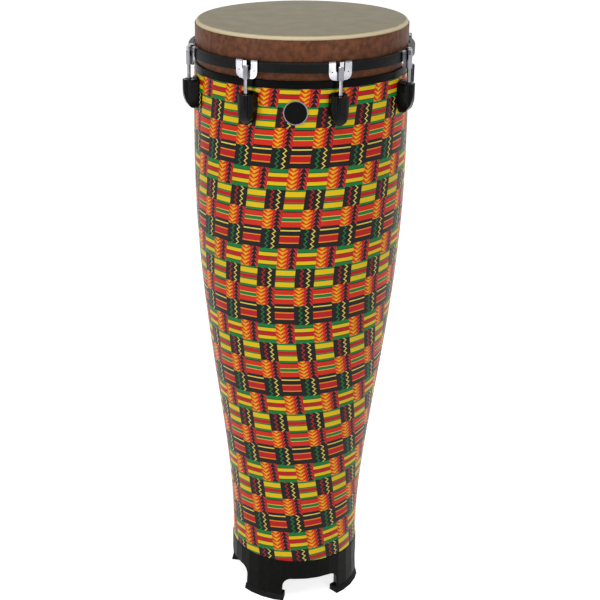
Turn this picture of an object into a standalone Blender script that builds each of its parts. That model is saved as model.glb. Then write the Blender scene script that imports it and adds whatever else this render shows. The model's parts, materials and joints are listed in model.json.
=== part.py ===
"""A timba: a tall hand drum with a tapered wooden shell, a tuned head and a foot with four legs.

Units are metres. +Z is up, the origin is on the floor under the drum's axis, and the badge faces -Y.
An azimuth is measured about +Z from -Y, so a piece modelled at azimuth 0 stands in front of the axis.
"""

import math

import bmesh
import bpy
from mathutils import Matrix, Vector

# Whole drum
HEIGHT = 0.900
SHELL_RADIUS = 0.1541
WAIST_RADIUS = 0.0984
GAP = 0.0003
SEGMENTS = 32
SMALL_SEGMENTS = 12
SCREW_SEGMENTS = 8
ARC_STEPS = 2
SHARP_ANGLE = math.radians(35)
MERGE_DISTANCE = 0.00001
CUT_PAST = 0.004

# Wooden shell and the cloth glued round it
SHELL_WALL = 0.0070
CLOTH = 0.0006
SHELL_TOP_DROP = 0.0590
MOUTH_TUCK = 0.0011
BELLY_DROP = 0.125
TAPER_DROP = 0.1862
TAPER_UPPER_PULL = 0.267
TAPER_LOWER_PULL = 0.1675
TAPER_STEPS = 8
WAIST_HEIGHT = 0.0896

# Trim ring in the rabbet round the shell's mouth
TRIM_SETBACK = 0.0003
TRIM_WALL = 0.0026
TRIM_HEIGHT = 0.0103
TRIM_ROUND = 0.0008

# Bearing ring on the shell, and the head stretched over it
HEAD_SETBACK = 0.0028
FILM = 0.0006
HEAD_SHOULDER = 0.0050
FILM_SKIRT = 0.0140
BEARING_WALL = 0.0078
BEARING_SLOPE = 0.0035
COLLAR_WALL = 0.0010
COLLAR_DROP = 0.0050
COLLAR_HEIGHT = 0.0350
COLLAR_ROUND = 0.0004

# Counterhoop and the flesh hoop under its flange
HOOP_TOP_DROP = 0.0332
HOOP_HEIGHT = 0.0138
HOOP_WALL = 0.0022
HOOP_FLANGE = 0.0020
HOOP_RUNNING_CLEARANCE = 0.0015
HOOP_ROUND = 0.0025
HOOP_EDGE_ROUND = 0.0008
FLESH_HOOP_WIDTH = 0.0042
FLESH_HOOP_HEIGHT = 0.0085
FLESH_HOOP_SPACE = 0.0026

# Claws hooked over the counterhoop
LUG_COUNT = 8
LUG_TURN = math.radians(-3.84)
CLAW_WIDTH = 0.032
CLAW_PLATE = 0.0018
CLAW_HEIGHT = 0.0257
CLAW_LIP = 0.0069
CLAW_BEND = 0.0025
CLAW_CORNER = 0.009
CLAW_SLOT = 0.0133
CLAW_SLOT_DEPTH = 0.0173
CLAW_EYE = 0.0018
CLAW_EYE_DROP = 0.0144
CLAW_TUBE = 0.0076
CLAW_TUBE_HEIGHT = 0.0173

# Tension rods
ROD_STAND_OFF = 0.0026
ROD_DIAMETER = 0.0052
ROD_LENGTH = 0.0673
ROD_FLANGE = 0.0084
ROD_FLANGE_THICKNESS = 0.0012
ROD_HEAD = 0.0055
ROD_HEAD_HEIGHT = 0.0065
ROD_END_ROOM = 0.0040

# Lugs, with their nuts and screws
LUG_TOP_DROP = 0.0775
LUG_HEIGHT = 0.0425
LUG_WIDTH = 0.025
LUG_SIDE_REACH = 0.0010
LUG_BODY_REACH = 0.0045
LUG_RIDGE_REACH = 0.0092
LUG_RIDGE_WIDTH = 0.0115
LUG_RIDGE_ROUND = 0.0040
LUG_SWEEP_HEIGHT = 0.030
LUG_SWEEP_START = 0.0036
LUG_SWEEP_STEPS = 7
LUG_CORNER = 0.003
LUG_FLANGE = 0.0026
LUG_FLANGE_RISE = 0.0035
LUG_FLANGE_SKIRT = 0.008
LUG_SADDLE_SEGMENTS = 96
NUT_DIAMETER = 0.0090
NUT_HEIGHT = 0.0120
NUT_DROP = 0.0020
LUG_SCREW_DROP = 0.0265
LUG_SCREW_DIAMETER = 0.0050
LUG_SCREW_BITE = 0.0056
SCREW_HEAD_WIDTH = 0.0095
SCREW_HEAD_HEIGHT = 0.0025
SCREW_HEAD_ROUND = 0.0012

# Foot ring, its pads and screws
FOOT_LEDGE_HEIGHT = 0.0697
FOOT_LIP_REACH = 0.0012
FOOT_LIP_ROUND = 0.0008
FOOT_KNEE_HEIGHT = 0.0400
FOOT_KNEE_REACH = 0.0016
FOOT_FLARE_REACH = 0.0032
FOOT_WALL = 0.0125
FOOT_COLLAR_WALL = 0.0045
FOOT_COLLAR_RISE = 0.0225
LEG_COUNT = 4
LEG_TURN = math.radians(-28.5)
LEG_ANGLE = math.radians(38.0)
ARCH_HEIGHT = 0.0385
ARCH_CORNER = 0.014
PAD_ANGLE = math.radians(39.5)
PAD_HEIGHT = 0.0096
PAD_TOP_REACH = 0.0037
PAD_FLOOR_REACH = 0.0059
FOOT_SCREW_RISE = 0.0113
FOOT_SCREW_DIAMETER = 0.0040
FOOT_SCREW_BITE = 0.0045

# Round badge, bent to the shell
BADGE_TURN = math.radians(-2.3)
BADGE_DROP = 0.1013
BADGE_DIAMETER = 0.034
BADGE_RIM = 0.0014
BADGE_PLATE = 0.0008
BADGE_RIM_PROUD = 0.0004
BADGE_SEGMENTS = 20
BADGE_BEND_SEGMENTS = 96

# Heights and radii where pieces meet
SHELL_TOP = HEIGHT - SHELL_TOP_DROP
TRIM_BOTTOM = SHELL_TOP - TRIM_HEIGHT
CLOTH_TOP = TRIM_BOTTOM - GAP
MOUTH_RADIUS = SHELL_RADIUS - MOUTH_TUCK
TRIM_OUTER = MOUTH_RADIUS - TRIM_SETBACK
TRIM_INNER = TRIM_OUTER - TRIM_WALL
HEAD_RADIUS = MOUTH_RADIUS - HEAD_SETBACK
BEARING_OUTER = HEAD_RADIUS - FILM - GAP
COLLAR_INNER = HEAD_RADIUS + GAP
COLLAR_OUTER = COLLAR_INNER + COLLAR_WALL
FLESH_HOOP_INNER = COLLAR_OUTER + GAP
FLESH_HOOP_OUTER = FLESH_HOOP_INNER + FLESH_HOOP_WIDTH
HOOP_OUTER = FLESH_HOOP_OUTER + FLESH_HOOP_SPACE + HOOP_WALL
HOOP_TOP = HEIGHT - HOOP_TOP_DROP
CLAW_INNER = HOOP_OUTER + GAP
CLAW_OUTER = CLAW_INNER + CLAW_PLATE
CLAW_TOP = HOOP_TOP + GAP + CLAW_PLATE
CLAW_BOTTOM = CLAW_TOP - CLAW_HEIGHT
CLAW_TUBE_TOP = CLAW_BOTTOM + CLAW_TUBE_HEIGHT
ROD_CIRCLE = CLAW_OUTER + ROD_STAND_OFF
ROD_SEAT = CLAW_TUBE_TOP + GAP
ROD_BORE = ROD_DIAMETER + 2 * GAP
LUG_TOP = HEIGHT - LUG_TOP_DROP
LUG_BOTTOM = LUG_TOP - LUG_HEIGHT
LUG_SADDLE = SHELL_RADIUS + GAP
NUT_BOTTOM = LUG_TOP - NUT_DROP - NUT_HEIGHT
LUG_SCREW_HEIGHT = LUG_TOP - LUG_SCREW_DROP
FOOT_OUTER = WAIST_RADIUS + FOOT_LIP_REACH
SHELL_FOOT = FOOT_LEDGE_HEIGHT + GAP
WOOD_INSET = CLOTH + GAP
HARDWARE_TURN = LUG_TURN + math.pi / LUG_COUNT

ROOT = bpy.data.collections.new("timba")


def clear_scene():
    """Remove the scene's objects and start the drum's own collection."""
    for obj in list(bpy.data.objects):
        bpy.data.objects.remove(obj, do_unlink=True)
    bpy.context.scene.collection.children.link(ROOT)


def linear(channel):
    """Turn a display colour channel from 0 to 255 into linear light."""
    value = channel / 255
    return value / 12.92 if value <= 0.04045 else ((value + 0.055) / 1.055) ** 2.4


def material(name, colour, roughness, metallic=0.0):
    """A plain Principled material of a display colour."""
    result = bpy.data.materials.new(name)
    result.use_nodes = True
    shader = result.node_tree.nodes["Principled BSDF"]
    shader.inputs["Base Color"].default_value = [linear(channel) for channel in colour] + [1.0]
    shader.inputs["Roughness"].default_value = roughness
    shader.inputs["Metallic"].default_value = metallic
    return result


def add_object(name, mesh):
    """Put a mesh into the drum's collection."""
    obj = bpy.data.objects.new(name, mesh)
    ROOT.objects.link(obj)
    return obj


def settle(obj):
    """Make the object's mesh what its modifiers show, smooth between its sharp edges."""
    depsgraph = bpy.context.evaluated_depsgraph_get()
    mesh = bpy.data.meshes.new_from_object(obj.evaluated_get(depsgraph))
    mesh.name = obj.name
    obj.modifiers.clear()
    obj.data = mesh
    mesh.shade_smooth()
    mesh.set_sharp_from_angle(angle=SHARP_ANGLE)
    return obj


def turned(name, profile, segments=SEGMENTS):
    """Turn a (radius, height) profile, which runs down its outer side, about the Z axis.

    A profile that starts and ends on the axis stays open there, and any other is closed.
    """
    links = [(i, i + 1) for i in range(len(profile) - 1)]
    if profile[0][0] > 0:
        links.append((len(profile) - 1, 0))
    mesh = bpy.data.meshes.new(name)
    mesh.from_pydata([(radius, 0, height) for radius, height in profile], links, [])
    obj = add_object(name, mesh)
    screw = obj.modifiers.new("turn", "SCREW")
    screw.steps = segments
    screw.render_steps = segments
    screw.use_merge_vertices = True
    screw.merge_threshold = MERGE_DISTANCE
    return settle(obj)


def rounded(corners, steps=ARC_STEPS):
    """An outline through (x, y, radius) corners, each turned as an arc of its radius."""
    outline = []
    for index, (x, y, radius) in enumerate(corners):
        here = Vector((x, y))
        if radius == 0:
            outline.append((x, y))
            continue
        before = (Vector(corners[index - 1][:2]) - here).normalized()
        after = (Vector(corners[(index + 1) % len(corners)][:2]) - here).normalized()
        half = before.angle(after) / 2
        centre = here + (before + after).normalized() * radius / math.sin(half)
        start = here + before * radius / math.tan(half) - centre
        side = math.copysign(1, before.x * after.y - before.y * after.x)
        sweep = -side * (math.pi - 2 * half)
        for step in range(steps + 1):
            point = centre + Matrix.Rotation(sweep * step / steps, 2) @ start
            outline.append((point.x, point.y))
    return outline


def ring_corners(inner, outer, bottom, top):
    """The four corners of a plain ring's section."""
    return [(outer, top), (outer, bottom), (inner, bottom), (inner, top)]


def ring(name, inner, outer, bottom, top, top_round=0, segments=SEGMENTS):
    """A plain ring whose outer top edge may be rounded."""
    first, *others = ring_corners(inner, outer, bottom, top)
    corners = [(*first, top_round)] + [(*corner, 0) for corner in others]
    return turned(name, rounded(corners), segments)


def prism(name, outline, depth, across, up, centre=(0, 0, 0)):
    """Extrude a flat outline to each side of its plane; its X runs along across and its Y along up."""
    curve = bpy.data.curves.new(name, "CURVE")
    curve.dimensions = "2D"
    curve.fill_mode = "BOTH"
    curve.extrude = depth / 2
    spline = curve.splines.new("POLY")
    spline.points.add(len(outline) - 1)
    for point, (x, y) in zip(spline.points, outline):
        point.co = (x, y, 0, 1)
    spline.use_cyclic_u = True
    guide = add_object(name, curve)
    depsgraph = bpy.context.evaluated_depsgraph_get()
    mesh = bpy.data.meshes.new_from_object(guide.evaluated_get(depsgraph))
    bpy.data.objects.remove(guide)
    shape = bmesh.new()
    shape.from_mesh(mesh)
    bmesh.ops.remove_doubles(shape, verts=shape.verts, dist=MERGE_DISTANCE)
    across, up = Vector(across), Vector(up)
    turn = Matrix((across, up, across.cross(up))).transposed().to_4x4()
    bmesh.ops.transform(shape, matrix=Matrix.Translation(centre) @ turn, verts=shape.verts)
    bmesh.ops.recalc_face_normals(shape, faces=shape.faces)
    shape.to_mesh(mesh)
    shape.free()
    return add_object(name, mesh)


def pin(name, diameter, start, end, segments=SMALL_SEGMENTS):
    """A straight round bar from one point to another."""
    start, end = Vector(start), Vector(end)
    shape = bmesh.new()
    turn = Vector((0, 0, 1)).rotation_difference(end - start).to_matrix().to_4x4()
    bmesh.ops.create_cone(
        shape, cap_ends=True, segments=segments, radius1=diameter / 2, radius2=diameter / 2,
        depth=(end - start).length, matrix=Matrix.Translation((start + end) / 2) @ turn)
    mesh = bpy.data.meshes.new(name)
    shape.to_mesh(mesh)
    shape.free()
    return add_object(name, mesh)


def combine(obj, tool, operation):
    """Cut, join or intersect an object with a tool, and remove the tool."""
    boolean = obj.modifiers.new("combine", "BOOLEAN")
    boolean.solver = "EXACT"
    boolean.operation = operation
    boolean.object = tool
    settle(obj)
    bpy.data.objects.remove(tool)
    return obj


def cut(obj, *tools):
    """Take each tool's shape out of the object."""
    for tool in tools:
        combine(obj, tool, "DIFFERENCE")
    return obj


def place_round(first, count, turn, parent=None):
    """Set a piece modelled at azimuth 0, and copies that share its mesh, evenly round the axis."""
    stem = first.name
    for number in range(count):
        piece = first if number == 0 else add_object(stem, first.data)
        piece.name = f"{stem}_{number + 1}"
        piece.rotation_euler.z = turn + number * math.tau / count
        piece.parent = parent


def azimuths(count, turn):
    """The azimuths of evenly spaced pieces."""
    return [turn + number * math.tau / count for number in range(count)]


def outward(azimuth, radius, height):
    """The point at an azimuth, a radius and a height."""
    return (radius * math.sin(azimuth), -radius * math.cos(azimuth), height)


def shell_line():
    """The drum's outer line from the cloth's top edge to its foot, as (radius, height) points."""
    belly = HEIGHT - BELLY_DROP
    taper = HEIGHT - TAPER_DROP
    line = []
    for share in (1.0, 0.5):
        line.append((SHELL_RADIUS - MOUTH_TUCK * share ** 2, belly + (CLOTH_TOP - belly) * share))
    line += [(SHELL_RADIUS, belly), (SHELL_RADIUS, taper)]
    pulls = [
        Vector((SHELL_RADIUS, taper)),
        Vector((SHELL_RADIUS, taper - TAPER_UPPER_PULL)),
        Vector((WAIST_RADIUS, WAIST_HEIGHT + TAPER_LOWER_PULL)),
        Vector((WAIST_RADIUS, WAIST_HEIGHT)),
    ]
    for step in range(1, TAPER_STEPS + 1):
        t = step / TAPER_STEPS
        weights = ((1 - t) ** 3, 3 * (1 - t) ** 2 * t, 3 * (1 - t) * t ** 2, t ** 3)
        point = sum((pull * weight for pull, weight in zip(pulls, weights)), Vector((0, 0)))
        line.append((point.x, point.y))
    line.append((WAIST_RADIUS, SHELL_FOOT))
    return line


def radius_at(height):
    """The drum's outer radius at a height."""
    line = shell_line()
    for (upper_radius, upper), (lower_radius, lower) in zip(line, line[1:]):
        if height >= lower:
            share = (height - lower) / (upper - lower)
            return lower_radius + (upper_radius - lower_radius) * min(share, 1)
    return line[-1][0]


def inset(line, depth):
    """The same line moved towards the axis."""
    return [(radius - depth, height) for radius, height in line]


def drill(obj, count, turn, height, diameter, start, end):
    """Drill a ring of radial holes between two radii."""
    for azimuth in azimuths(count, turn):
        bore = pin("bore", diameter + 2 * GAP, outward(azimuth, start, height), outward(azimuth, end, height))
        cut(obj, bore)


def make_shell():
    """The wooden shell, rabbeted at the mouth for the trim ring."""
    line = shell_line()
    outside = inset(line, WOOD_INSET)
    inside = inset(line, WOOD_INSET + SHELL_WALL)
    rabbet = TRIM_INNER - GAP
    profile = [(rabbet, SHELL_TOP), (rabbet, CLOTH_TOP)] + outside + inside[::-1] + [(inside[0][0], SHELL_TOP)]
    shell = turned("shell", profile)
    lug_bore = radius_at(LUG_SCREW_HEIGHT) - WOOD_INSET
    drill(shell, LUG_COUNT, HARDWARE_TURN, LUG_SCREW_HEIGHT, LUG_SCREW_DIAMETER,
                      lug_bore - SHELL_WALL - CUT_PAST, lug_bore + CUT_PAST)
    foot_bore = WAIST_RADIUS - WOOD_INSET - SHELL_WALL
    drill(shell, LEG_COUNT, LEG_TURN, SHELL_FOOT + FOOT_SCREW_RISE, FOOT_SCREW_DIAMETER,
                      foot_bore - CUT_PAST, foot_bore + FOOT_SCREW_BITE + GAP)
    shell.data.materials.append(material("shell_wood", (150, 112, 70), 0.6))


def make_cloth():
    """The printed cloth glued round the shell."""
    line = shell_line()
    cloth = turned("fabric_wrap", line + inset(line, CLOTH)[::-1])
    surface = radius_at(LUG_SCREW_HEIGHT)
    drill(cloth, LUG_COUNT, HARDWARE_TURN, LUG_SCREW_HEIGHT, LUG_SCREW_DIAMETER,
                      surface - CUT_PAST, surface + CUT_PAST)
    cloth.data.materials.append(material("printed_cloth", (214, 120, 40), 0.35))


def make_trim_ring():
    """The black ring that covers the cloth's top edge."""
    trim = ring("trim_ring", TRIM_INNER, TRIM_OUTER, TRIM_BOTTOM, SHELL_TOP, TRIM_ROUND)
    trim.data.materials.append(material("black_trim", (16, 16, 17), 0.35))


def make_bearing_ring():
    """The hoop of wood on the shell, with the rounded edge that the head bears on."""
    top = HEIGHT - FILM - GAP
    inner = BEARING_OUTER - BEARING_WALL
    crest = BEARING_OUTER - HEAD_SHOULDER
    corners = [
        (BEARING_OUTER, top, HEAD_SHOULDER - FILM - GAP),
        (BEARING_OUTER, SHELL_TOP + GAP, 0),
        (inner, SHELL_TOP + GAP, 0),
        (inner, top - BEARING_SLOPE, 0),
        (crest, top, 0),
    ]
    bearing = turned("bearing_ring", rounded(corners))
    bearing.data.materials.append(material("bearing_wood", (84, 54, 40), 0.6))


def make_head():
    """The playing surface: a thin film with a rounded shoulder and a short skirt."""
    shoulder = [(0, HEIGHT, 0), (HEAD_RADIUS, HEIGHT, HEAD_SHOULDER), (HEAD_RADIUS, HEIGHT - FILM_SKIRT, 0)]
    inner = HEAD_RADIUS - FILM
    under = [(inner, HEIGHT - FILM_SKIRT, 0), (inner, HEIGHT - FILM, HEAD_SHOULDER - FILM), (0, HEIGHT - FILM, 0)]
    head = turned("drumhead", rounded(shoulder + under))
    head.data.materials.append(material("head_film", (146, 137, 115), 0.55))


def make_collar(carrier):
    """The head's stiff skirt, which the flesh hoop grips."""
    top = HEIGHT - COLLAR_DROP
    collar = ring("head_collar", COLLAR_INNER, COLLAR_OUTER, top - COLLAR_HEIGHT, top, COLLAR_ROUND)
    collar.data.materials.append(material("head_skirt", (92, 62, 46), 0.6))
    collar.parent = carrier


def make_hoops(carrier):
    """The counterhoop, a band with a flange turned in at its top, and the flesh hoop under the flange."""
    flange_bottom = HOOP_TOP - HOOP_FLANGE
    band_inner = HOOP_OUTER - HOOP_WALL
    flange_inner = COLLAR_OUTER + HOOP_RUNNING_CLEARANCE
    hoop_bottom = HOOP_TOP - HOOP_HEIGHT
    corners = [
        (HOOP_OUTER, HOOP_TOP, HOOP_ROUND),
        (HOOP_OUTER, hoop_bottom, 0),
        (band_inner, hoop_bottom, 0),
        (band_inner, flange_bottom, 0),
        (flange_inner, flange_bottom, 0),
        (flange_inner, HOOP_TOP, HOOP_EDGE_ROUND),
    ]
    hoop = turned("counterhoop", rounded(corners))
    hoop.data.materials.append(material("hoop_black", (26, 26, 28), 0.4, 0.6))
    hoop.parent = carrier
    seat = flange_bottom - GAP
    flesh = ring("flesh_hoop", FLESH_HOOP_INNER, FLESH_HOOP_OUTER, seat - FLESH_HOOP_HEIGHT, seat)
    flesh.data.materials.append(material("flesh_hoop_steel", (60, 60, 62), 0.4, 0.9))
    flesh.parent = carrier


def claw_outline():
    """The claw seen from the front: two arms over a web with rounded lower corners."""
    half = CLAW_WIDTH / 2
    slot = CLAW_SLOT / 2
    slot_bottom = CLAW_TOP - CLAW_SLOT_DEPTH
    over = CLAW_TOP + CUT_PAST
    return rounded([
        (-half, over, 0),
        (-half, CLAW_BOTTOM, CLAW_CORNER),
        (half, CLAW_BOTTOM, CLAW_CORNER),
        (half, over, 0),
        (slot, over, 0),
        (slot, slot_bottom, slot * 0.98),
        (-slot, slot_bottom, slot * 0.98),
        (-slot, over, 0),
    ], steps=4)


def claw_section():
    """The claw seen from the side: a plate folded over the counterhoop."""
    lip = CLAW_OUTER - CLAW_LIP
    return rounded([
        (CLAW_INNER, CLAW_BOTTOM, 0),
        (CLAW_OUTER, CLAW_BOTTOM, 0),
        (CLAW_OUTER, CLAW_TOP, CLAW_BEND),
        (lip, CLAW_TOP, 0),
        (lip, CLAW_TOP - CLAW_PLATE, 0),
        (CLAW_INNER, CLAW_TOP - CLAW_PLATE, CLAW_BEND - CLAW_PLATE),
    ])


def make_claws(carrier):
    """The chromed claws that pull the counterhoop down."""
    depth = CLAW_LIP + 2 * CUT_PAST
    middle = CLAW_OUTER - CLAW_LIP / 2
    claw = prism("claw", claw_section(), CLAW_WIDTH + 2 * CUT_PAST, (0, -1, 0), (0, 0, 1))
    outline = prism("outline", claw_outline(), depth, (1, 0, 0), (0, 0, 1), (0, -middle, 0))
    combine(claw, outline, "INTERSECT")
    tube = pin("tube", CLAW_TUBE, (0, -ROD_CIRCLE, CLAW_BOTTOM), (0, -ROD_CIRCLE, CLAW_TUBE_TOP), 16)
    combine(claw, tube, "UNION")
    arm = (CLAW_WIDTH + CLAW_SLOT) / 4
    eye_height = CLAW_TOP - CLAW_EYE_DROP
    for side in (-arm, arm):
        eye = pin("eye", CLAW_EYE, (side, -CLAW_INNER + CUT_PAST, eye_height), (side, -CLAW_OUTER - CUT_PAST, eye_height), 8)
        cut(claw, eye)
    bore = pin("bore", ROD_BORE, (0, -ROD_CIRCLE, CLAW_BOTTOM - CUT_PAST),
               (0, -ROD_CIRCLE, CLAW_TUBE_TOP + CUT_PAST), 16)
    cut(claw, bore)
    claw.data.materials.append(material("claw_chrome", (200, 200, 204), 0.15, 1.0))
    place_round(claw, LUG_COUNT, HARDWARE_TURN, carrier)


def make_rods(carrier):
    """The tension rods, each turning on its own axis, with a square head over a round flange."""
    flange_top = ROD_FLANGE_THICKNESS
    rod_end = flange_top - ROD_LENGTH
    shaft = [(0, flange_top), (ROD_FLANGE / 2, flange_top), (ROD_FLANGE / 2, 0), (ROD_DIAMETER / 2, 0),
             (ROD_DIAMETER / 2, rod_end), (0, rod_end)]
    rod = turned("tension_rod", shaft, SMALL_SEGMENTS)
    half = ROD_HEAD / 2
    square = [(-half, -half), (half, -half), (half, half), (-half, half)]
    head = prism("head", square, ROD_HEAD_HEIGHT + flange_top / 2, (1, 0, 0), (0, 1, 0),
                 (0, 0, flange_top * 0.75 + ROD_HEAD_HEIGHT / 2))
    combine(rod, head, "UNION")
    rod.data.materials.append(material("rod_steel", (170, 170, 174), 0.25, 1.0))
    for number, azimuth in enumerate(azimuths(LUG_COUNT, HARDWARE_TURN)):
        piece = rod if number == 0 else add_object("tension_rod", rod.data)
        piece.name = f"tension_rod_{number + 1}"
        piece.location = outward(azimuth, ROD_CIRCLE, ROD_SEAT)
        piece.rotation_euler.z = azimuth
        piece.parent = carrier


def lug_plan():
    """The lug seen from above, as (sideways, radius) points: a ridge on a wider body."""
    half = LUG_WIDTH / 2
    ridge = LUG_RIDGE_WIDTH / 2
    back = LUG_SADDLE - CUT_PAST
    body = ROD_CIRCLE + LUG_BODY_REACH
    return rounded([
        (-half, back, 0),
        (-half, ROD_CIRCLE + LUG_SIDE_REACH, LUG_CORNER),
        (-ridge - LUG_CORNER / 2, body, 0),
        (-ridge, body, 0),
        (-ridge, ROD_CIRCLE + LUG_RIDGE_REACH, LUG_RIDGE_ROUND),
        (ridge, ROD_CIRCLE + LUG_RIDGE_REACH, LUG_RIDGE_ROUND),
        (ridge, body, 0),
        (ridge + LUG_CORNER / 2, body, 0),
        (half, ROD_CIRCLE + LUG_SIDE_REACH, LUG_CORNER),
        (half, back, 0),
    ])


def swept(half_width, turns):
    """Half or all of an ellipse that closes the lug at its bottom."""
    points = []
    for angle in turns:
        points.append((half_width * math.cos(angle), LUG_BOTTOM + LUG_SWEEP_HEIGHT * (1 - math.sin(angle))))
    return points


def lug_front():
    """The lug seen from the front: straight sides that taper to a round bottom."""
    half = LUG_WIDTH / 2
    steps = 2 * LUG_SWEEP_STEPS
    top = rounded([(half, LUG_BOTTOM, 0), (half, LUG_TOP, LUG_CORNER), (-half, LUG_TOP, LUG_CORNER), (-half, LUG_BOTTOM, 0)])
    return top[1:-1] + swept(half, [math.pi - math.pi * step / steps for step in range(steps + 1)])


def lug_side():
    """The lug seen from the side, as (radius, height) points: an upright face that sweeps in below."""
    foot = SHELL_RADIUS + LUG_SWEEP_START
    reach = ROD_CIRCLE + LUG_RIDGE_REACH - foot
    back = LUG_SADDLE - CUT_PAST
    face = [(back, LUG_TOP), (back, LUG_BOTTOM)]
    steps = LUG_SWEEP_STEPS
    angles = [math.pi / 2 * (1 - step / steps) for step in range(steps + 1)]
    face += [(foot + radius, height) for radius, height in swept(reach, angles)]
    face.append((foot + reach, LUG_TOP))
    return face


def lug_flange():
    """The lug's back flange seen from the front, with an arched top."""
    half = LUG_WIDTH / 2
    arch = [(half * math.cos(math.pi * step / 8), LUG_TOP + LUG_FLANGE_RISE * math.sin(math.pi * step / 8)) for step in range(9)]
    return arch + [(-half, LUG_TOP - LUG_FLANGE_SKIRT), (half, LUG_TOP - LUG_FLANGE_SKIRT)]


def make_lugs():
    """The cast lugs, saddled to the shell and bored for nut, rod and screw."""
    back = LUG_SADDLE - CUT_PAST
    front = ROD_CIRCLE + LUG_RIDGE_REACH + CUT_PAST
    lug = prism("lug", lug_front(), front - back, (1, 0, 0), (0, 0, 1), (0, -(front + back) / 2, 0))
    side = prism("side", lug_side(), LUG_WIDTH + 2 * CUT_PAST, (0, -1, 0), (0, 0, 1))
    combine(lug, side, "INTERSECT")
    plan = prism("plan", lug_plan(), LUG_HEIGHT + 2 * CUT_PAST, (1, 0, 0), (0, -1, 0), (0, 0, (LUG_TOP + LUG_BOTTOM) / 2))
    combine(lug, plan, "INTERSECT")
    flange_front = LUG_SADDLE + LUG_FLANGE
    flange = prism("flange", lug_flange(), flange_front - back, (1, 0, 0), (0, 0, 1), (0, -(flange_front + back) / 2, 0))
    combine(lug, flange, "UNION")
    axis_top = (0, -ROD_CIRCLE, LUG_TOP + CUT_PAST)
    saddle = pin("saddle", 2 * LUG_SADDLE, (0, 0, LUG_BOTTOM - CUT_PAST), (0, 0, LUG_TOP + 2 * CUT_PAST), LUG_SADDLE_SEGMENTS)
    pocket = pin("pocket", NUT_DIAMETER + 2 * GAP, (0, -ROD_CIRCLE, NUT_BOTTOM - GAP), axis_top)
    rod_end = ROD_SEAT + ROD_FLANGE_THICKNESS - ROD_LENGTH
    bore = pin("bore", ROD_BORE, (0, -ROD_CIRCLE, rod_end - ROD_END_ROOM), axis_top)
    bite = LUG_SADDLE + LUG_SCREW_BITE + GAP
    screw_hole = pin("screw_hole", LUG_SCREW_DIAMETER + 2 * GAP, (0, -back, LUG_SCREW_HEIGHT), (0, -bite, LUG_SCREW_HEIGHT))
    cut(lug, saddle, pocket, bore, screw_hole)
    lug.data.materials.append(material("lug_black", (14, 14, 16), 0.2))
    place_round(lug, LUG_COUNT, HARDWARE_TURN)


def make_lug_nuts():
    """The inserts that stand in the lugs' pockets and take the rods."""
    nut = ring("lug_nut", ROD_BORE / 2, NUT_DIAMETER / 2, NUT_BOTTOM, NUT_BOTTOM + NUT_HEIGHT,
               segments=SMALL_SEGMENTS)
    nut.data.transform(Matrix.Translation((0, -ROD_CIRCLE, 0)))
    nut.data.materials.append(material("nut_brass", (176, 150, 92), 0.35, 1.0))
    place_round(nut, LUG_COUNT, HARDWARE_TURN)


def make_screws(name, count, turn, height, head_face, tip, diameter):
    """Radial screws driven from inside: the head bears on the wood at head_face, the shank ends at tip."""
    head = SCREW_HEAD_WIDTH / 2
    profile = rounded([
        (0, tip, 0),
        (diameter / 2, tip, 0),
        (diameter / 2, head_face, 0),
        (head, head_face, 0),
        (head, head_face - SCREW_HEAD_HEIGHT, SCREW_HEAD_ROUND),
        (0, head_face - SCREW_HEAD_HEIGHT, 0),
    ], steps=2)
    screw = turned(name, profile, SCREW_SEGMENTS)
    screw.data.transform(Matrix.Translation((0, 0, height)) @ Matrix.Rotation(math.pi / 2, 4, "X"))
    screw.data.materials.append(material(f"{name}_steel", (150, 150, 152), 0.35, 1.0))
    place_round(screw, count, turn)


def flat_inside(radius):
    """The least radius of a turned wall between its edges."""
    return radius * math.cos(math.pi / SEGMENTS)


def make_lug_screws():
    """The screws that hold the lugs from inside the shell."""
    wall = radius_at(LUG_SCREW_HEIGHT) - WOOD_INSET - SHELL_WALL
    make_screws("lug_screw", LUG_COUNT, HARDWARE_TURN, LUG_SCREW_HEIGHT, flat_inside(wall) - GAP,
                LUG_SADDLE + LUG_SCREW_BITE, LUG_SCREW_DIAMETER)


def foot_outer():
    """The foot ring's outer line from its ledge down to the pads, as (radius, height) points."""
    return [
        (FOOT_OUTER, FOOT_LEDGE_HEIGHT - FOOT_LIP_ROUND),
        (WAIST_RADIUS + FOOT_KNEE_REACH, FOOT_KNEE_HEIGHT),
        (WAIST_RADIUS + FOOT_FLARE_REACH, PAD_HEIGHT + GAP),
    ]


def wedge(name, angle, reach, bottom, top):
    """A pie slice in front of the axis, for cutting a sector from a ring."""
    slice_outline = [(0, 0)]
    for side in (-1, 0, 1):
        turn = side * angle / 2
        slice_outline.append((reach * math.sin(turn), reach * math.cos(turn)))
    return prism(name, slice_outline, top - bottom, (1, 0, 0), (0, -1, 0), (0, 0, (top + bottom) / 2))


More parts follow.
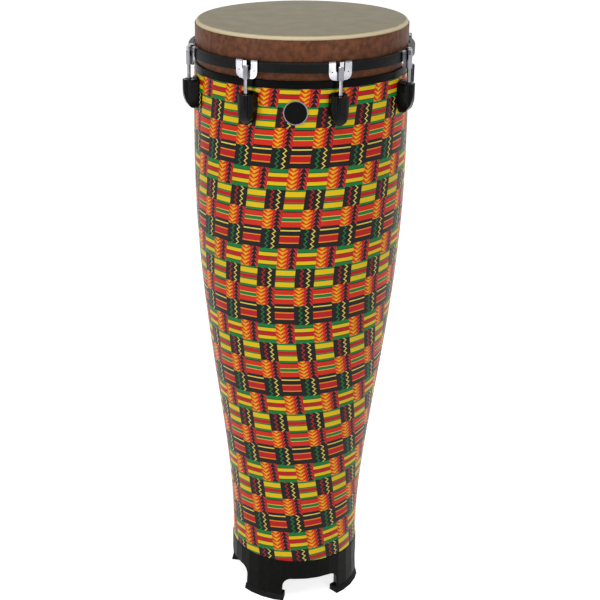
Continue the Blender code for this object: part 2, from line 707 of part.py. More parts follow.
def make_foot():
    """The foot: a collar inside the shell, a ledge under it, and a skirt arched into four legs."""
    collar = WAIST_RADIUS - WOOD_INSET - SHELL_WALL - GAP
    inner = collar - FOOT_COLLAR_WALL
    skirt_inner = WAIST_RADIUS + FOOT_KNEE_REACH - FOOT_WALL
    collar_top = FOOT_LEDGE_HEIGHT + FOOT_COLLAR_RISE
    profile = [
        (collar, collar_top),
        (collar, FOOT_LEDGE_HEIGHT),
        (FOOT_OUTER - FOOT_LIP_ROUND, FOOT_LEDGE_HEIGHT),
        *foot_outer(),
        (skirt_inner, PAD_HEIGHT + GAP),
        (skirt_inner, FOOT_KNEE_HEIGHT),
        (inner, FOOT_LEDGE_HEIGHT),
        (inner, collar_top),
    ]
    foot = turned("foot_ring", profile)
    reach = foot_outer()[-1][0]
    half = reach * math.sin((math.tau / LEG_COUNT - LEG_ANGLE) / 2)
    arch = rounded([
        (-half, -CUT_PAST, 0),
        (half, -CUT_PAST, 0),
        (half, ARCH_HEIGHT, ARCH_CORNER),
        (-half, ARCH_HEIGHT, ARCH_CORNER),
    ], steps=5)
    depth = reach + CUT_PAST - half
    for azimuth in azimuths(LEG_COUNT, LEG_TURN + math.pi / LEG_COUNT):
        across = (math.cos(azimuth), math.sin(azimuth), 0)
        cut(foot, prism("arch", arch, depth, across, (0, 0, 1), outward(azimuth, half + depth / 2, 0)))
    drill(foot, LEG_COUNT, LEG_TURN, SHELL_FOOT + FOOT_SCREW_RISE, FOOT_SCREW_DIAMETER,
          inner - CUT_PAST, collar + CUT_PAST)
    foot.data.materials.append(material("foot_black", (28, 28, 29), 0.5))
    make_screws("foot_screw", LEG_COUNT, LEG_TURN, SHELL_FOOT + FOOT_SCREW_RISE, flat_inside(inner) - GAP,
                collar + FOOT_SCREW_BITE, FOOT_SCREW_DIAMETER)


def make_foot_pads():
    """The rubber pads under the legs."""
    inner = WAIST_RADIUS + FOOT_KNEE_REACH - FOOT_WALL
    top = WAIST_RADIUS + PAD_TOP_REACH
    floor = WAIST_RADIUS + PAD_FLOOR_REACH
    pad = turned("foot_pad", [(top, PAD_HEIGHT), (floor, 0), (inner, 0), (inner, PAD_HEIGHT)])
    combine(pad, wedge("slice", PAD_ANGLE, 2 * floor, -CUT_PAST, PAD_HEIGHT + CUT_PAST), "INTERSECT")
    pad.data.materials.append(material("pad_rubber", (62, 62, 64), 0.85))
    place_round(pad, LEG_COUNT, LEG_TURN)


def badge_layer(name, inner, outer, diameter, height, hole=0):
    """A disc, or a ring, cut radially out of a thin band round the shell."""
    layer = turned(name, ring_corners(inner, outer, height - diameter, height + diameter), BADGE_BEND_SEGMENTS)
    past = (0, -outer - CUT_PAST, height)
    combine(layer, pin("disc", diameter, (0, -inner + CUT_PAST, height), past, BADGE_SEGMENTS), "INTERSECT")
    if hole:
        cut(layer, pin("hole", hole, (0, -inner + CUT_PAST, height), past, BADGE_SEGMENTS))
    layer.rotation_euler.z = BADGE_TURN
    return layer


def make_badge():
    """The round badge between two lugs: a plain dark disc in a bright rim."""
    height = HEIGHT - BADGE_DROP
    back = SHELL_RADIUS + GAP
    front = back + BADGE_PLATE
    disc = BADGE_DIAMETER - 2 * BADGE_RIM
    plate = badge_layer("badge", back, front, disc - 2 * GAP, height)
    plate.data.materials.append(material("badge_black", (12, 12, 13), 0.3))
    rim = badge_layer("badge_rim", back, front + BADGE_RIM_PROUD, BADGE_DIAMETER, height, disc)
    rim.data.materials.append(material("badge_silver", (196, 196, 200), 0.2, 1.0))


def build():
    """Make every piece, with the tuning hardware on an empty that slides along the drum's axis."""
    clear_scene()
    carrier = bpy.data.objects.new("hoop_slide", None)
    ROOT.objects.link(carrier)
    make_shell()
    make_cloth()
    make_trim_ring()
    make_bearing_ring()
    make_head()
    make_collar(carrier)
    make_hoops(carrier)
    make_claws(carrier)
    make_rods(carrier)
    make_lugs()
    make_lug_nuts()
    make_lug_screws()
    make_foot()
    make_foot_pads()
    make_badge()


build()
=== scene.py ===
"""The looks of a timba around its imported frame: finishes, fine turned surfaces, floor, light and camera."""

import json
import math

import bpy
from mathutils import Matrix, Vector


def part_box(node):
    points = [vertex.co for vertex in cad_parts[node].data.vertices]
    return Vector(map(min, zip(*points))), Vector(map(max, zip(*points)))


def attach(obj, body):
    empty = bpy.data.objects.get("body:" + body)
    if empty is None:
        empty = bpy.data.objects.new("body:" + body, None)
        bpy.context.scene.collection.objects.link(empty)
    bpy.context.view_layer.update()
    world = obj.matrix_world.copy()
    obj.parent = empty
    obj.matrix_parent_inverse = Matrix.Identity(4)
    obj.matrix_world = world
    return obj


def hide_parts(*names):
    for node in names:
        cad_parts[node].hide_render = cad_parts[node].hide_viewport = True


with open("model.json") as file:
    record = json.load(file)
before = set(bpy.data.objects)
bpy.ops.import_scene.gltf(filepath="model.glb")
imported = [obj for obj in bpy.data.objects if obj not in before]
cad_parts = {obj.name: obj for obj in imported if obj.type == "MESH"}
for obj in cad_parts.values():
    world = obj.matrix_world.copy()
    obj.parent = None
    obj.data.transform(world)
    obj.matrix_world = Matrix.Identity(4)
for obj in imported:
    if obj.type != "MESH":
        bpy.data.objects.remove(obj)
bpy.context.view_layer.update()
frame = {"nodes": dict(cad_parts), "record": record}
slots = {part["node"]: part["material_slot"] for part in frame["record"]["subparts"]}

# Fine turned surfaces
SEGMENTS = 256
ARC_STEPS = 8
SHARP = math.radians(35)

# The cloth's outer curve and thickness, in metres. Drops are measured from its top
CLOTH = 0.0006
MOUTH_TUCK = 0.0011
BELLY_DROP = 0.0554
BELLY_STEPS = 8
TAPER_DROP = 0.1166
TAPER_UPPER_PULL = 0.267
TAPER_LOWER_PULL = 0.1675
TAPER_STEPS = 72
WAIST_RADIUS = 0.0984
WAIST_HEIGHT = 0.0896

# The sections of the rings and of the head, in metres
TRIM_WALL = 0.0026
TRIM_TOP_ROUND = 0.0009
TRIM_LOW_ROUND = 0.0004
BEARING_WALL = 0.0078
BEARING_CREST = 0.0050
BEARING_SLOPE = 0.0035
BEARING_ROUND = 0.0041
FILM = 0.0006
HEAD_SHOULDER = 0.0050
COLLAR_WALL = 0.0010
COLLAR_ROUND = 0.0004
HOOP_WALL = 0.0022
HOOP_FLANGE = 0.0020
HOOP_FLANGE_REACH = 0.0078
HOOP_ROUND = 0.0025
HOOP_EDGE_ROUND = 0.0006
HOOP_LIP_ROUND = 0.0008

# One repeat of the printed pattern round and up the cloth, and about where its first yellow block starts,
# in metres. COLUMN_MIDDLE is the share of a repeat from the edge of a column B to its middle
PATTERN_WIDTH = 0.055
PATTERN_HEIGHT = 0.1188
YELLOW_TOP = 0.8069
COLUMN_MIDDLE = 0.25

# The middle of a column B drifts sideways with height, along a line with a soft bend at DRIFT_HEIGHT
DRIFT_START = -0.0585
DRIFT_LEAN = -0.0075
DRIFT_SPREAD = 0.1475
DRIFT_TURN = 0.012
DRIFT_HEIGHT = 0.52

# The rows stand highest against an even spacing at ROW_MIDDLE, and tilt more the lower they lie
ROW_LIFT = 0.0062
ROW_BOW = 0.069
ROW_MIDDLE = 0.48
TILT_TOP = 0.835
TILT_RATE = 0.11

# The inks, as display colours
YELLOW = (244, 206, 8)
ORANGE = (250, 152, 20)
VERMILION = (226, 46, 16)
RED = (200, 22, 28)
GREEN = (12, 128, 58)
BLACK = (16, 12, 12)
PALE = (246, 222, 96)
PINK = (222, 66, 60)

# Where the four blocks of each column end, as shares of a repeat
COLUMN_A_ENDS = (0.28, 0.465, 0.735)
COLUMN_B_ENDS = (0.25, 0.49, 0.745)

# Where each stripe of a block starts, as a share of the block
YELLOW_BLOCK = (
    (0.0, GREEN), (0.08, YELLOW), (0.31, GREEN), (0.38, RED),
    (0.56, GREEN), (0.63, YELLOW), (0.85, GREEN), (0.95, BLACK))
RED_BLOCK = ((0.0, VERMILION), (0.34, PALE), (0.38, GREEN), (0.60, PALE), (0.64, VERMILION))
BLACK_BLOCK = (
    (0.0, BLACK), (0.13, PALE), (0.19, BLACK), (0.40, ORANGE), (0.45, RED), (0.72, ORANGE), (0.77, BLACK))
STRIPED_BLOCK = (
    (0.0, GREEN), (0.17, BLACK), (0.20, YELLOW), (0.38, BLACK), (0.41, RED),
    (0.59, BLACK), (0.62, YELLOW), (0.80, BLACK), (0.83, GREEN))

# The two zigzags of a block, as shares of its width
ZIGZAG_TURNS = 4.0
ZIGZAG_SWING = 0.32
ZIGZAG_HALF_WIDTH = 0.036
ZIGZAG_PLACES = (0.34, 0.68)

# The arrowheads and the fir trees of a block. Tapers are per half width
CHEVRONS = 5.0
ARROW_POINT = 0.6
ARROW_DEPTH = 0.72
ARROW_TAPER = -0.45
CORE_DEPTH = 0.45
CORE_TAPER = -0.6
FIR_SPREAD = 0.62
FIR_TRUNK = 0.14
FIR_FRINGE = 0.18

# The head's colours, and how far in from its edge the pale shoulder fades in and is full
HEAD_TAUPES = ((122, 113, 90), (136, 127, 102))
HEAD_PALE = (218, 203, 166)
SHOULDER_FADE = (0.0040, 0.0006)
SHOULDER_WANDER = 0.0012

# The mottled finishes: two display colours, the grain's scale, and the gloss
MOTTLE_RANGE = (0.35, 0.65)
GLOSS_SWING = 0.12
FINISHES = {
    "shell_wood": dict(colours=((168, 126, 80), (134, 94, 56)), scale=40, rough=0.6, stretch=(1, 1, 0.08)),
    "bearing_wood": dict(
        colours=((124, 72, 42), (90, 50, 29)), scale=120, rough=0.5, bump=0.0002, specular=0.2),
    "black_trim": dict(colours=((12, 12, 13), (8, 8, 9)), scale=90, rough=0.3, specular=0.05),
    "head_skirt": dict(
        colours=((124, 74, 46), (86, 50, 31)), scale=130, rough=0.5, bump=0.0003, specular=0.2),
    "hoop_black": dict(
        colours=((26, 26, 27), (18, 18, 19)), scale=200, rough=0.38, metallic=0.2,
        bump=0.00005, specular=0.1),
    "hoop_steel": dict(colours=((120, 120, 122), (96, 96, 98)), scale=90, rough=0.4, metallic=1.0),
    "bright_metal": dict(
        colours=((158, 158, 162), (132, 132, 137)), scale=60, rough=0.14, metallic=1.0, bump=0.00002),
    "lug_black": dict(
        colours=((12, 11, 11), (8, 8, 8)), scale=70, rough=0.24, bump=0.00003, coat=0.06, specular=0.08),
    "nut_brass": dict(colours=((190, 160, 98), (160, 130, 74)), scale=80, rough=0.35, metallic=1.0),
    "screw_steel": dict(colours=((150, 150, 152), (120, 120, 124)), scale=80, rough=0.35, metallic=1.0),
    "foot_black": dict(colours=((18, 18, 17), (13, 13, 12)), scale=150, rough=0.42, specular=0.05),
    "pad_rubber": dict(colours=((38, 38, 39), (28, 28, 29)), scale=260, rough=0.8, specular=0.08),
    "badge_black": dict(
        colours=((14, 14, 15), (10, 10, 11)), scale=90, rough=0.25, coat=0.04, specular=0.05),
}

# The floor's half width in metres, how much of its white the camera sees with no light on it, and the
# room's own light
FLOOR_REACH = 6.0
FLOOR_GLOW = 0.8
FLOOR_WHITES = ((255, 255, 255), (252, 252, 252))
ROOM_LIGHT = 0.26
LAMP_AIM_HEIGHT = 0.5

# The camera that fits the photograph, in metres, radians and pixels
CAMERA_DISTANCE = 1.97597
CAMERA_HEIGHT = 1.23817
CAMERA_ROLL = -0.008939
CAMERA_YAW = -0.065315
CAMERA_PITCH = 0.370722
FOCAL_PIXELS = 1386.051
AXIS_PIXEL = 213.035
IMAGE_PIXELS = 600
SENSOR_WIDTH = 36.0


def linear(colour):
    """A display colour from 0 to 255 as linear light with alpha."""
    result = []
    for channel in colour:
        value = channel / 255
        result.append(value / 12.92 if value <= 0.04045 else ((value + 0.055) / 1.055) ** 2.4)
    return result + [1.0]


def add_object(name, data):
    """A new object in the scene."""
    piece = bpy.data.objects.new(name, data)
    bpy.context.scene.collection.objects.link(piece)
    return piece


class Nodes:
    """Short calls for building one material's node tree."""

    def __init__(self, name):
        self.material = bpy.data.materials.new(name)
        self.material.use_nodes = True
        self.tree = self.material.node_tree
        self.shader = self.tree.nodes["Principled BSDF"]

    def add(self, kind, **settings):
        """A new node with its settings."""
        node = self.tree.nodes.new(kind)
        for key, value in settings.items():
            setattr(node, key, value)
        return node

    def feed(self, socket, value):
        """Link another node's output to a socket, or set the socket to a value."""
        if isinstance(value, bpy.types.NodeSocket):
            self.tree.links.new(value, socket)
        else:
            socket.default_value = value

    def math(self, operation, *values):
        """The result of a sum on values or other nodes' outputs."""
        node = self.add("ShaderNodeMath", operation=operation)
        for socket, value in zip(node.inputs, values):
            self.feed(socket, value)
        return node.outputs[0]

    def mix(self, share, first, second):
        """The first colour at a share of 0 and the second at 1."""
        node = self.add("ShaderNodeMix", data_type="RGBA")
        self.feed(node.inputs["Factor"], share)
        self.feed(node.inputs["A"], first)
        self.feed(node.inputs["B"], second)
        return node.outputs["Result"]

    def place(self):
        """The piece's own coordinates, in metres."""
        split = self.add("ShaderNodeSeparateXYZ")
        self.feed(split.inputs[0], self.add("ShaderNodeTexCoord").outputs["Object"])
        return split.outputs

    def from_axis(self, x, y):
        """The distance from the drum's axis."""
        return self.math("SQRT", self.math("ADD", self.math("MULTIPLY", x, x), self.math("MULTIPLY", y, y)))

    def noise(self, scale, detail=4.0, stretch=(1, 1, 1)):
        """Smooth noise over the piece."""
        mapping = self.add("ShaderNodeMapping")
        self.feed(mapping.inputs["Vector"], self.add("ShaderNodeTexCoord").outputs["Object"])
        mapping.inputs["Scale"].default_value = stretch
        node = self.add("ShaderNodeTexNoise")
        self.feed(node.inputs["Vector"], mapping.outputs[0])
        node.inputs["Scale"].default_value = scale
        node.inputs["Detail"].default_value = detail
        return node.outputs["Fac"]

    def stripes(self, share, stops):
        """A colour that changes at the given shares of a block."""
        node = self.add("ShaderNodeValToRGB")
        ramp = node.color_ramp
        ramp.interpolation = "CONSTANT"
        ramp.elements.remove(ramp.elements[-1])
        for number, (position, colour) in enumerate(stops):
            element = ramp.elements[0] if number == 0 else ramp.elements.new(position)
            element.position = position
            element.color = linear(colour)
        self.feed(node.inputs[0], share)
        return node.outputs["Color"]

    def spread(self, value, low, high):
        """A value clamped from its own range to 0..1."""
        node = self.add("ShaderNodeMapRange")
        self.feed(node.inputs["Value"], value)
        node.inputs["From Min"].default_value = low
        node.inputs["From Max"].default_value = high
        return node.outputs["Result"]

    def bump(self, height, distance, strength=1.0):
        """Relief on the finish."""
        node = self.add("ShaderNodeBump")
        node.inputs["Strength"].default_value = strength
        node.inputs["Distance"].default_value = distance
        self.feed(node.inputs["Height"], height)
        self.feed(self.shader.inputs["Normal"], node.outputs[0])

    def finish(self, colour, roughness, metallic=0.0, coat=0.0, coat_roughness=0.05, specular=0.5):
        """Set the shader and give its material."""
        self.feed(self.shader.inputs["Base Color"], colour)
        self.feed(self.shader.inputs["Roughness"], roughness)
        self.shader.inputs["Metallic"].default_value = metallic
        self.shader.inputs["Coat Weight"].default_value = coat
        self.shader.inputs["Coat Roughness"].default_value = coat_roughness
        self.shader.inputs["Specular IOR Level"].default_value = specular
        return self.material


def mottled(name, colours, scale, rough, metallic=0.0, bump=0.0001, coat=0.0,
            stretch=(1, 1, 1), specular=0.5):
    """A finish that wanders between two colours, with grain and a slightly uneven gloss."""
    nodes = Nodes(name)
    grain = nodes.noise(scale, detail=5.0, stretch=stretch)
    colour, other = (linear(each) for each in colours)
    tone = nodes.mix(nodes.spread(grain, *MOTTLE_RANGE), colour, other)
    gloss = nodes.math("MULTIPLY_ADD", grain, GLOSS_SWING, rough - GLOSS_SWING / 2)
    nodes.bump(grain, bump)
    return nodes.finish(tone, gloss, metallic, coat, specular=specular)


def zigzag(nodes, across, down, centre):
    """1 on a thin zigzag that runs down a block, and 0 beside it. It swings out for half of each turn."""
    swing = nodes.math("PINGPONG", nodes.math("MULTIPLY", down, ZIGZAG_TURNS), 0.5)
    line = nodes.math("MULTIPLY_ADD", swing, ZIGZAG_SWING, centre - ZIGZAG_SWING / 4)
    away = nodes.math("ABSOLUTE", nodes.math("SUBTRACT", across, line))
    return nodes.math("LESS_THAN", away, ZIGZAG_HALF_WIDTH)


def zigzag_block(nodes, across, down, ink):
    """A zigzag in one ink and a pale one beside it, on black."""
    first, second = ZIGZAG_PLACES
    block = nodes.mix(zigzag(nodes, across, down, first), linear(BLACK), linear(ink))
    return nodes.mix(zigzag(nodes, across, down, second), block, linear(PALE))


def chevron_block(nodes, across, down):
    """Yellow arrowheads that point down beside a dark fir tree that points up, on red."""
    half = nodes.math("FRACT", nodes.math("MULTIPLY", across, 2.0))
    from_middle = nodes.math("MULTIPLY", nodes.math("ABSOLUTE", nodes.math("SUBTRACT", half, 0.5)), 2.0)
    tiers = nodes.math("MULTIPLY", down, CHEVRONS)

    band = nodes.math("FRACT", nodes.math("MULTIPLY_ADD", from_middle, ARROW_POINT, tiers))
    arrow = nodes.math("LESS_THAN", band, nodes.math("MULTIPLY_ADD", from_middle, ARROW_TAPER, ARROW_DEPTH))
    core = nodes.math("LESS_THAN", band, nodes.math("MULTIPLY_ADD", from_middle, CORE_TAPER, CORE_DEPTH))
    arrows = nodes.mix(arrow, linear(VERMILION), nodes.mix(core, linear(ORANGE), linear(YELLOW)))

    tier = nodes.math("FRACT", tiers)
    branch = nodes.math("MULTIPLY_ADD", tier, FIR_SPREAD, FIR_TRUNK)
    fir = nodes.math("LESS_THAN", from_middle, branch)
    fringe = nodes.math("LESS_THAN", from_middle, nodes.math("ADD", branch, FIR_FRINGE))
    firs = nodes.mix(fir, nodes.mix(fringe, linear(RED), linear(PINK)), linear(BLACK))
    return nodes.mix(nodes.math("GREATER_THAN", across, 0.5), arrows, firs)


def block_shares(nodes, phase, ends):
    """How far down each block of a column a phase lies."""
    edges = (0.0, *ends, 1.0)
    shares = []
    for start, end in zip(edges, edges[1:]):
        shares.append(nodes.math("DIVIDE", nodes.math("SUBTRACT", phase, start), end - start))
    return shares


def stack(nodes, phase, ends, blocks):
    """A column of blocks, one below the other."""
    column = blocks[0]
    for end, block in zip(ends, blocks[1:]):
        column = nodes.mix(nodes.math("GREATER_THAN", phase, end), column, block)
    return column


def column_a(nodes, across, phase):
    """The yellow, red and black blocks, and arrowheads."""
    shares = block_shares(nodes, phase, COLUMN_A_ENDS)
    striped = zip(shares, (YELLOW_BLOCK, RED_BLOCK, BLACK_BLOCK))
    blocks = [nodes.stripes(share, stops) for share, stops in striped]
    blocks.append(chevron_block(nodes, across, shares[-1]))
    return stack(nodes, phase, COLUMN_A_ENDS, blocks)


def column_b(nodes, across, phase):
    """Red zigzags, arrowheads, green zigzags and stripes."""
    first, second, third, fourth = block_shares(nodes, phase, COLUMN_B_ENDS)
    return stack(nodes, phase, COLUMN_B_ENDS, [
        zigzag_block(nodes, across, first, RED),
        chevron_block(nodes, across, second),
        zigzag_block(nodes, across, third, GREEN),
        nodes.stripes(fourth, STRIPED_BLOCK),
    ])


def column_turns(nodes, along, z):
    """How far a place lies round one repeat, from 0 to 1."""
    rise = nodes.math("SUBTRACT", z, DRIFT_HEIGHT)
    slope = nodes.math("MULTIPLY", rise, DRIFT_SPREAD)
    bend = nodes.math("SQRT", nodes.math("MULTIPLY_ADD", slope, slope, DRIFT_TURN ** 2))
    drift = nodes.math("ADD", bend, nodes.math("MULTIPLY_ADD", rise, DRIFT_LEAN, DRIFT_START))
    column = nodes.math("DIVIDE", nodes.math("SUBTRACT", along, drift), PATTERN_WIDTH)
    return nodes.math("FRACT", nodes.math("ADD", column, COLUMN_MIDDLE))


def row_phase(nodes, along, z):
    """How far a place lies down one repeat, from 0 to 1."""
    tilt = nodes.math("MULTIPLY", nodes.math("SUBTRACT", TILT_TOP, z), TILT_RATE)
    level = nodes.math("SUBTRACT", z, nodes.math("MULTIPLY", along, tilt))
    off = nodes.math("SUBTRACT", z, ROW_MIDDLE)
    top = nodes.math("MULTIPLY_ADD", nodes.math("MULTIPLY", off, off), -ROW_BOW, ROW_LIFT + YELLOW_TOP)
    return nodes.math("FRACT", nodes.math("DIVIDE", nodes.math("SUBTRACT", top, level), PATTERN_HEIGHT))


def printed_cloth():
    """Strips of a traditional woven pattern, printed on cloth under a clear coat."""
    nodes = Nodes("printed_cloth")
    x, y, z = nodes.place()
    turn = nodes.math("ARCTAN2", x, nodes.math("MULTIPLY", y, -1.0))
    along = nodes.math("MULTIPLY", turn, nodes.from_axis(x, y))
    turns = column_turns(nodes, along, z)
    phase = row_phase(nodes, along, z)
    across = nodes.math("FRACT", nodes.math("MULTIPLY", turns, 2.0))
    in_a = nodes.math("GREATER_THAN", turns, 0.5)
    ink = nodes.mix(in_a, column_b(nodes, across, phase), column_a(nodes, across, phase))
    nodes.bump(nodes.noise(scale=900.0, detail=2.0), distance=0.00004, strength=0.5)
    return nodes.finish(ink, roughness=0.5, coat=0.2, coat_roughness=0.08, specular=0.08)


def head_film():
    """A skin-like film: taupe on top, and pale round the worn shoulder."""
    nodes = Nodes("head_film")
    x, y, _ = nodes.place()
    grain = nodes.noise(scale=38.0, detail=8.0)
    dark, light = (linear(each) for each in HEAD_TAUPES)
    taupe = nodes.mix(nodes.spread(grain, low=0.3, high=0.7), dark, light)
    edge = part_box("drumhead")[1].x
    fade_start, fade_end = (edge - inset for inset in SHOULDER_FADE)
    wandering = nodes.math("MULTIPLY_ADD", grain, SHOULDER_WANDER, nodes.from_axis(x, y))
    colour = nodes.mix(nodes.spread(wandering, fade_start, fade_end), taupe, linear(HEAD_PALE))
    nodes.bump(nodes.noise(scale=420.0), distance=0.00006, strength=0.6)
    return nodes.finish(colour, roughness=0.55, specular=0.35)


def make_materials():
    """One finish for each material slot of the record."""
    materials = {slot: mottled(slot, **finish) for slot, finish in FINISHES.items()}
    materials["printed_cloth"] = printed_cloth()
    materials["head_film"] = head_film()
    return materials


def dress_nodes(materials):
    """Give every CAD node the finish of its slot, and shade it smooth between its sharp edges."""
    for name, slot in slots.items():
        mesh = frame["nodes"][name].data
        mesh.materials.clear()
        mesh.materials.append(materials[slot])
    for node in frame["nodes"].values():
        node.data.shade_smooth()
        node.data.set_sharp_from_angle(angle=SHARP)


def arc(corner, before, after, radius):
    """The points of a rounded corner between two neighbours."""
    corner = Vector(corner)
    before = (Vector(before) - corner).normalized()
    after = (Vector(after) - corner).normalized()
    half = before.angle(after) / 2
    centre = corner + (before + after).normalized() * radius / math.sin(half)
    start = corner + before * radius / math.tan(half) - centre
    side = math.copysign(1, before.x * after.y - before.y * after.x)
    sweep = -side * (math.pi - 2 * half)
    points = []
    for step in range(ARC_STEPS + 1):
        points.append(tuple(centre + Matrix.Rotation(sweep * step / ARC_STEPS, 2) @ start))
    return points


def rounded(corners):
    """A closed section through (radius, height, rounding) corners."""
    points = []
    for index, (x, y, radius) in enumerate(corners):
        if radius:
            points += arc((x, y), corners[index - 1][:2], corners[(index + 1) % len(corners)][:2], radius)
        else:
            points.append((x, y))
    return points


def cloth_section(widest, bottom, top):
    """An upright belly and a long S-shaped taper to the waist, and the cloth's inner side."""
    belly, taper_top = top - BELLY_DROP, top - TAPER_DROP
    line = []
    for step in range(BELLY_STEPS):
        share = 1 - step / BELLY_STEPS
        line.append((widest - MOUTH_TUCK * share ** 2, belly + BELLY_DROP * share))
    line.append((widest, belly))
    pulls = [
        Vector((widest, taper_top)),
        Vector((widest, taper_top - TAPER_UPPER_PULL)),
        Vector((WAIST_RADIUS, WAIST_HEIGHT + TAPER_LOWER_PULL)),
        Vector((WAIST_RADIUS, WAIST_HEIGHT)),
    ]
    for step in range(TAPER_STEPS + 1):
        t = step / TAPER_STEPS
        weights = ((1 - t) ** 3, 3 * (1 - t) ** 2 * t, 3 * (1 - t) * t ** 2, t ** 3)
        point = sum((pull * weight for pull, weight in zip(pulls, weights)), Vector((0, 0)))
        line.append(tuple(point))
    line.append((WAIST_RADIUS, bottom))
    return line + [(radius - CLOTH, height) for radius, height in reversed(line)]


def trim_section(radius, bottom, top):
    """A plain band with softened outer edges."""
    inner = radius - TRIM_WALL
    return rounded([
        (radius, top, TRIM_TOP_ROUND), (radius, bottom, TRIM_LOW_ROUND),
        (inner, bottom, 0), (inner, top, 0)])


def bearing_section(radius, bottom, top):
    """A ring with a rounded outer shoulder and a crest that slopes inwards."""
    inner = radius - BEARING_WALL
    return rounded([
        (radius, top, BEARING_ROUND), (radius, bottom, 0), (inner, bottom, 0),
        (inner, top - BEARING_SLOPE, 0), (radius - BEARING_CREST, top, 0)])


def head_section(radius, bottom, top):
    """A film that turns down over its shoulder into a short skirt, from the axis and back to it."""
    inner, under = radius - FILM, top - FILM
    return rounded([
        (0, top, 0), (radius, top, HEAD_SHOULDER), (radius, bottom, 0),
        (inner, bottom, 0), (inner, under, HEAD_SHOULDER - FILM), (0, under, 0)])


def collar_section(radius, bottom, top):
    """A thin band with a softened top edge."""
    inner = radius - COLLAR_WALL
    return rounded([
        (radius, top, COLLAR_ROUND), (radius, bottom, 0), (inner, bottom, 0), (inner, top, COLLAR_ROUND)])


def hoop_section(radius, bottom, top):
    """An upright wall with a flange that reaches inwards at its top."""
    inner, under, lip = radius - HOOP_WALL, top - HOOP_FLANGE, radius - HOOP_FLANGE_REACH
    return rounded([
        (radius, top, HOOP_ROUND), (radius, bottom, HOOP_EDGE_ROUND), (inner, bottom, HOOP_EDGE_ROUND),
        (inner, under, 0), (lip, under, HOOP_EDGE_ROUND), (lip, top, HOOP_LIP_ROUND)])


# A name, the CAD node that it stands for, the body that it rides and its section
TURNED_PIECES = (
    ("cloth_fine", "fabric_wrap", "drum", cloth_section),
    ("trim_fine", "trim_ring", "drum", trim_section),
    ("bearing_fine", "bearing_ring", "drum", bearing_section),
    ("head_fine", "drumhead", "drum", head_section),
    ("collar_fine", "head_collar", "hoop", collar_section),
    ("hoop_fine", "counterhoop", "hoop", hoop_section),
)


def turned_mesh(name, profile):
    """A section turned about the drum's axis. It runs down its outer side."""
    on_axis = profile[0][0] == 0
    rows = profile[1:-1] if on_axis else profile
    points = []
    for radius, height in rows:
        for step in range(SEGMENTS):
            turn = math.tau * step / SEGMENTS
            points.append((radius * math.cos(turn), radius * math.sin(turn), height))
    faces = []
    pairs = len(rows) - 1 if on_axis else len(rows)
    for row in range(pairs):
        below = (row + 1) % len(rows)
        for step in range(SEGMENTS):
            beside = (step + 1) % SEGMENTS
            faces.append((row * SEGMENTS + step, below * SEGMENTS + step,
                          below * SEGMENTS + beside, row * SEGMENTS + beside))
    if on_axis:
        last = (len(rows) - 1) * SEGMENTS
        faces.append(tuple(range(SEGMENTS)))
        faces.append(tuple(last + step for step in reversed(range(SEGMENTS))))
    mesh = bpy.data.meshes.new(name)
    mesh.from_pydata(points, [], faces)
    mesh.shade_smooth()
    mesh.set_sharp_from_angle(angle=SHARP)
    return mesh


def make_turned_pieces(materials):
    """Finely turned pieces in place of the turned CAD nodes that show most."""
    for name, node, body, section in TURNED_PIECES:
        low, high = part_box(node)
        piece = add_object(name, turned_mesh(name, section(high.x, low.z, high.z)))
        slot = slots[node]
        piece.data.materials.append(materials[slot])
        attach(piece, body)
        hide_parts(node)


def seen(tree):
    """1 for rays from the camera, straight, mirrored or through glass, and 0 for the rest."""
    path = tree.nodes.new("ShaderNodeLightPath")
    total = path.outputs["Is Camera Ray"]
    for name in ("Is Glossy Ray", "Is Transmission Ray"):
        either = tree.nodes.new("ShaderNodeMath")
        either.operation = "MAXIMUM"
        tree.links.new(total, either.inputs[0])
        tree.links.new(path.outputs[name], either.inputs[1])
        total = either.outputs[0]
    return total


def make_floor():
    """A white floor that keeps the drum's shadow."""
    mesh = bpy.data.meshes.new("floor")
    corners = [(x * FLOOR_REACH, y * FLOOR_REACH, 0) for x, y in ((-1, -1), (1, -1), (1, 1), (-1, 1))]
    mesh.from_pydata(corners, [], [(0, 1, 2, 3)])
    floor = add_object("floor", mesh)
    nodes = Nodes("floor")
    white, off_white = (linear(each) for each in FLOOR_WHITES)
    tone = nodes.mix(nodes.noise(scale=3.0), white, off_white)
    glow = nodes.math("MULTIPLY", seen(nodes.tree), FLOOR_GLOW)
    nodes.shader.inputs["Emission Color"].default_value = (1, 1, 1, 1)
    nodes.feed(nodes.shader.inputs["Emission Strength"], glow)
    mesh.materials.append(nodes.finish(tone, roughness=0.9, specular=0.1))


def softbox(name, azimuth, distance, height, size, power):
    """An area lamp that faces the drum. Azimuths are in degrees from the front."""
    lamp = bpy.data.lights.new(name, "AREA")
    lamp.shape = "RECTANGLE"
    lamp.size, lamp.size_y = size
    lamp.energy = power
    turn = math.radians(azimuth)
    holder = add_object(name, lamp)
    holder.location = (distance * math.sin(turn), -distance * math.cos(turn), height)
    aim = Vector((0, 0, LAMP_AIM_HEIGHT)) - holder.location
    holder.rotation_euler = aim.to_track_quat("-Z", "Y").to_euler()


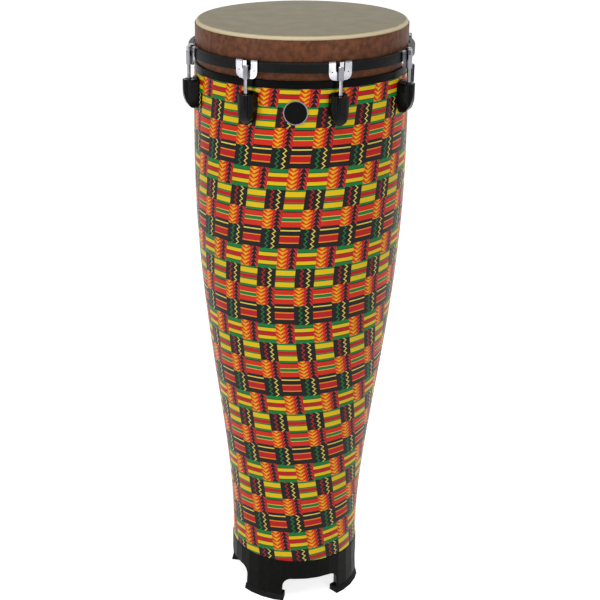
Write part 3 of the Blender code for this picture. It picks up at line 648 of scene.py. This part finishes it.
def make_light():
    """A dim room that the camera sees as white, and soft lamps on both sides and above."""
    world = bpy.data.worlds.new("studio")
    world.use_nodes = True
    tree = world.node_tree
    background = tree.nodes["Background"]
    background.inputs["Color"].default_value = (1, 1, 1, 1)
    strength = tree.nodes.new("ShaderNodeMapRange")
    tree.links.new(seen(tree), strength.inputs["Value"])
    strength.inputs["To Min"].default_value = ROOM_LIGHT
    strength.inputs["To Max"].default_value = 1.0
    tree.links.new(strength.outputs["Result"], background.inputs["Strength"])
    bpy.context.scene.world = world
    softbox("left_box", azimuth=-48, distance=2.2, height=1.1, size=(0.45, 1.6), power=11)
    softbox("right_box", azimuth=34, distance=2.4, height=1.1, size=(0.4, 1.6), power=8)
    softbox("top_box", azimuth=0, distance=0.8, height=2.6, size=(1.4, 1.4), power=20)


def make_camera():
    """The camera at the photograph's place, aimed down past the drum and shifted to frame it."""
    sin_yaw, cos_yaw = math.sin(CAMERA_YAW), math.cos(CAMERA_YAW)
    sin_pitch, cos_pitch = math.sin(CAMERA_PITCH), math.cos(CAMERA_PITCH)
    forward = Vector((sin_yaw * cos_pitch, cos_yaw * cos_pitch, -sin_pitch))
    right = Vector((cos_yaw, -sin_yaw, 0))
    up = right.cross(forward)
    across = math.cos(CAMERA_ROLL) * right + math.sin(CAMERA_ROLL) * up
    upward = -math.sin(CAMERA_ROLL) * right + math.cos(CAMERA_ROLL) * up
    data = bpy.data.cameras.new("camera")
    data.sensor_width = SENSOR_WIDTH
    data.lens = FOCAL_PIXELS / IMAGE_PIXELS * SENSOR_WIDTH
    data.shift_x = (IMAGE_PIXELS / 2 - AXIS_PIXEL) / IMAGE_PIXELS
    camera = add_object("camera", data)
    turn = Matrix((across, upward, -forward)).transposed().to_4x4()
    camera.matrix_world = Matrix.Translation((0, -CAMERA_DISTANCE, CAMERA_HEIGHT)) @ turn
    bpy.context.scene.camera = camera


def main():
    """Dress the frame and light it."""
    materials = make_materials()
    dress_nodes(materials)
    make_turned_pieces(materials)
    make_floor()
    make_light()
    make_camera()
    bpy.context.scene.view_settings.view_transform = "Standard"


main()
